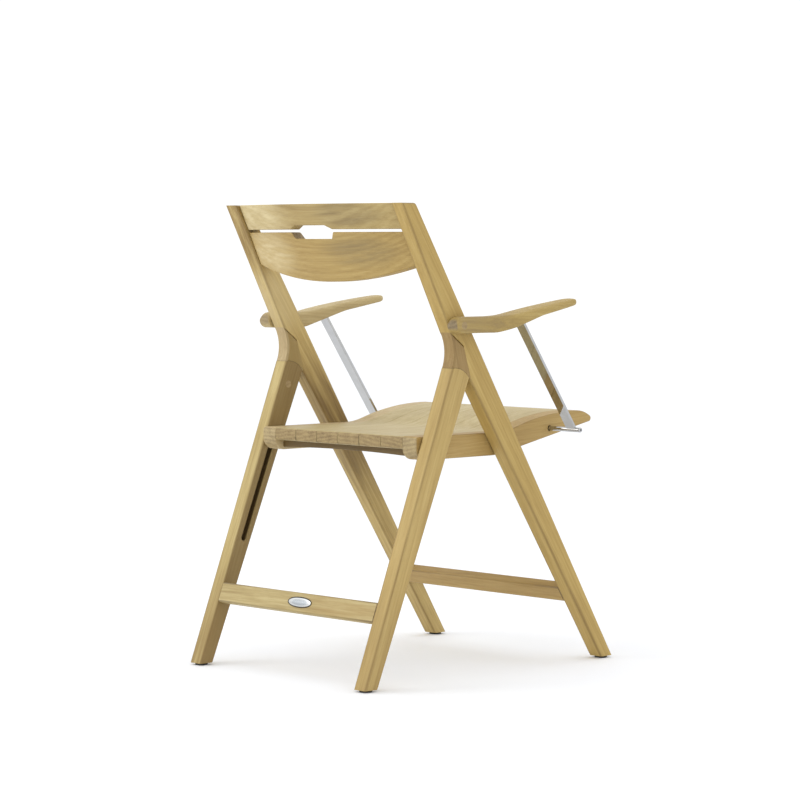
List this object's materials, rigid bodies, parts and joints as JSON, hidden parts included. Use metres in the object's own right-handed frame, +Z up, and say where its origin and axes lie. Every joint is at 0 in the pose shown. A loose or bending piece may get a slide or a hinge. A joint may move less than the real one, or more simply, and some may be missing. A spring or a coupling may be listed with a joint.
{
  "type": "folding armchair",
  "caption": "Folding teak armchair with a curved slatted seat, bowed back boards with a hand hole, flat armrests and polished steel struts.",
  "frame": {"origin": "on the floor at the middle of the chair's bounding box", "axes": "+Z up, the sitter faces -Y, X across the chair; the sitter's left is +X"},
  "size_m": [0.596, 0.6519, 0.87],
  "materials": {
    "teak": "oiled teak, satin",
    "teak_dark": "darker teak, satin",
    "teak_pale": "pale sun-bleached teak",
    "teak_plug": "teak plug, end grain",
    "mirror_steel": "mirror-polished stainless steel",
    "steel": "plain stainless steel",
    "plate": "satin plate",
    "black_plastic": "black glide"
  },
  "bodies": {
    "back_frame": {"left_stile": "teak", "right_stile": "teak", "left_hinge_block": "teak_dark", "right_hinge_block": "teak_dark", "upper_back_board": "teak", "lower_back_board": "teak", "front_stretcher": "teak", "front_glides": "black_plastic", "seat_pivot_pins": "steel", "seat_washers": "steel", "arm_bolts": "steel", "arm_washers": "steel"},
    "rear_legs": {"left_rear_leg": "teak", "right_rear_leg": "teak", "rear_stretcher": "teak", "oval_plate": "plate", "rear_glides": "black_plastic", "hinge_pins": "steel", "hinge_plugs": "teak_plug"},
    "seat": {"left_seat_rail": "teak_pale", "right_seat_rail": "teak_pale", "rear_cross_rail": "teak", "middle_cross_rail": "teak", "front_cross_rail": "teak", "seat_slat_1": "teak_pale", "seat_slat_2": "teak_pale", "seat_slat_3": "teak_pale", "seat_slat_4": "teak_pale", "seat_slat_5": "teak_pale", "seat_slat_6": "teak_pale", "slide_pins": "steel"},
    "left_arm": {"left_armrest": "teak", "left_arm_plug": "teak_plug", "left_strut_pin": "steel"},
    "left_strut_arm": {"left_strut": "mirror_steel", "left_rod_cap": "mirror_steel"},
    "right_arm": {"right_armrest": "teak", "right_arm_plug": "teak_plug", "right_strut_pin": "steel"},
    "right_strut_arm": {"right_strut": "mirror_steel", "right_rod_cap": "mirror_steel"}
  },
  "joints": [
    {"name": "seat_fold", "type": "hinge", "parent": "back_frame", "child": "seat", "pos_m": [0, -0.042, 0.435], "axis": [-1, 0, 0], "range_deg": [0, 94]},
    {"name": "rear_leg_fold", "type": "hinge", "parent": "back_frame", "child": "rear_legs", "pos_m": [0, 0.1025, 0.5264], "axis": [-1, 0, 0], "range_deg": [0, 51.5]},
    {"name": "left_arm_fold", "type": "hinge", "parent": "back_frame", "child": "left_arm", "pos_m": [0, 0.107, 0.649], "axis": [-1, 0, 0], "range_deg": [0, 94]},
    {"name": "left_strut_swing", "type": "hinge", "parent": "left_arm", "child": "left_strut_arm", "pos_m": [0, -0.034, 0.662], "axis": [-1, 0, 0], "range_deg": [-94, 0]},
    {"name": "right_arm_fold", "type": "hinge", "parent": "back_frame", "child": "right_arm", "pos_m": [0, 0.107, 0.649], "axis": [-1, 0, 0], "range_deg": [0, 94]},
    {"name": "right_strut_swing", "type": "hinge", "parent": "right_arm", "child": "right_strut_arm", "pos_m": [0, -0.034, 0.662], "axis": [-1, 0, 0], "range_deg": [-94, 0]}
  ],
  "couplings": [
    {"joint": "rear_leg_fold", "follows": "seat_fold", "ratio": 0.546},
    {"joint": "left_arm_fold", "follows": "seat_fold", "ratio": 1},
    {"joint": "left_strut_swing", "follows": "seat_fold", "ratio": -1},
    {"joint": "right_arm_fold", "follows": "seat_fold", "ratio": 1},
    {"joint": "right_strut_swing", "follows": "seat_fold", "ratio": -1}
  ]
}
